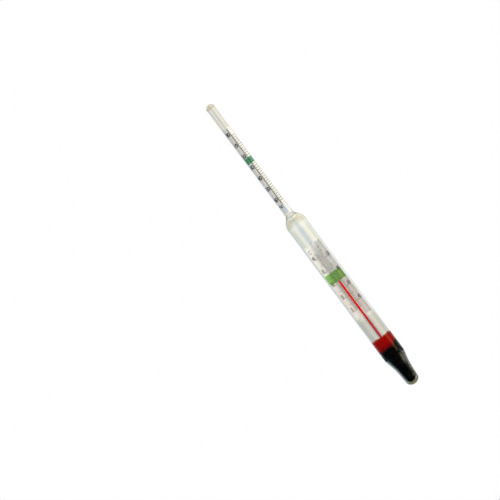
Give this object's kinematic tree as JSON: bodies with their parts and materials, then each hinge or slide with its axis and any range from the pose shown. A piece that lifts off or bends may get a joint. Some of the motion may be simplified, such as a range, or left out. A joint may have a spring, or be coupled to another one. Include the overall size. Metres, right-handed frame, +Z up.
{
  "type": "hydrometer",
  "caption": "Slender glass float with a scaled stem, a spirit thermometer in its body and a weighted nose, for reading the density and temperature of a liquid.",
  "frame": {"origin": "on the axis at the water line the float settles at in sea water, in the middle of the stem's green band", "axes": "+Z up along the stem as it floats, -Y the side that the scales are read from, +X to the reader's right"},
  "size_m": [0.0108, 0.0108, 0.165],
  "materials": {
    "outer_glass": "clear, flame-polished",
    "thermometer_glass": "clear, drawn",
    "scale_paper": "matte paper, printed in black with green bands",
    "red_spirit": "dyed liquid",
    "red_resin": "translucent set resin",
    "black_shot": "fine black grit"
  },
  "bodies": {
    "float": {"stem_tube": "outer_glass", "body_tube": "outer_glass", "gravity_scale": "scale_paper", "thermometer_scale": "scale_paper", "thermometer_tube": "thermometer_glass", "thermometer_bulb": "thermometer_glass", "spirit_reservoir": "red_spirit", "resin_seal": "red_resin", "ballast_shot": "black_shot"},
    "spirit": {"spirit_column": "red_spirit"}
  },
  "joints": [
    {"name": "spirit_rise", "type": "slide", "parent": "float", "child": "spirit", "axis": [0, 0, 1], "range_m": [-0.0159, 0.0167], "deforming": ["spirit_column"]}
  ]
}
